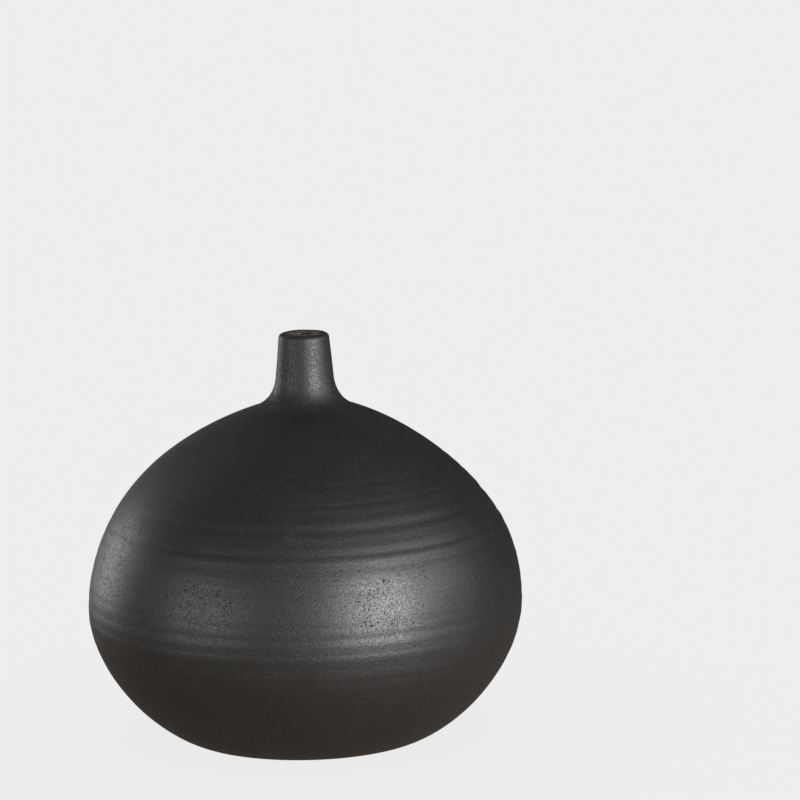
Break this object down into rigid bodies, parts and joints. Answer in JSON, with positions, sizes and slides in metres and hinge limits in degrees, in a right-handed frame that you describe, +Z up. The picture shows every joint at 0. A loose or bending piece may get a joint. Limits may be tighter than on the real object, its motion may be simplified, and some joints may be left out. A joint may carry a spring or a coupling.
{
  "type": "pot",
  "caption": "Squat round bottle pot of matt black clay with a narrow flared neck, a thick rounded lip and a small mouth.",
  "frame": {"origin": "middle of the flat underside, on the surface the pot stands on", "axes": "+Z up through the middle of the underside and the belly; the neck stands 3.4 mm towards +X, and +Y is level, at right angles to both"},
  "size_m": [0.3, 0.3, 0.28],
  "materials": {
    "black_clay": "unglazed, matt to satin, with throwing rings and a fine sandy grain"
  },
  "bodies": {
    "root": {"floor_slab": "black_clay", "floor_seam_coil": "black_clay", "foot_course": "black_clay", "bowl_course": "black_clay", "belly_course": "black_clay", "shoulder_course": "black_clay", "crown_course": "black_clay", "neck_collar": "black_clay", "mouth_ring": "black_clay"}
  },
  "joints": []
}
